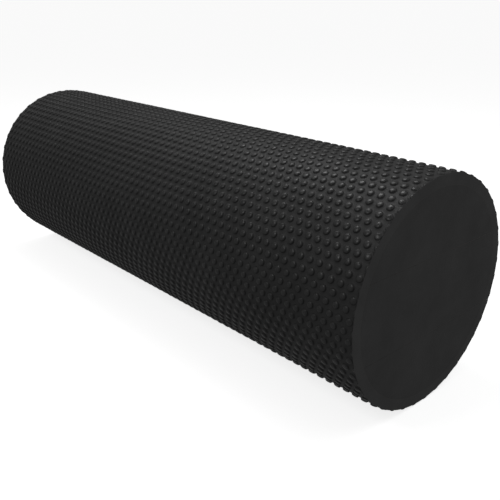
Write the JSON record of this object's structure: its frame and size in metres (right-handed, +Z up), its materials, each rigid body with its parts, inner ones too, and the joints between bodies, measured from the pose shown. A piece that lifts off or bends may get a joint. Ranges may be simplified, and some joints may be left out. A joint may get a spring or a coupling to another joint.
{
  "type": "foam roller",
  "caption": "Solid foam massage roller with a nubbed foam sheet wrapped round a glued, laminated foam core and flush flat ends.",
  "frame": {"origin": "on the floor under the roller's middle, with the roller lying on its side", "axes": "+X parallel to the roller's axis, which is 75 mm above the floor; +Y across it; +Z up"},
  "size_m": [0.45, 0.15, 0.15],
  "materials": {
    "wrap_foam": "satin",
    "core_foam": "matte",
    "contact_adhesive": "satin"
  },
  "bodies": {
    "root": {"textured_wrap": "wrap_foam", "wrap_seam_glue": "contact_adhesive", "wrap_glue": "contact_adhesive", "core_slab_upper": "core_foam", "core_slab_middle": "core_foam", "core_slab_lower": "core_foam", "slab_glue_upper": "contact_adhesive", "slab_glue_lower": "contact_adhesive"}
  },
  "joints": []
}
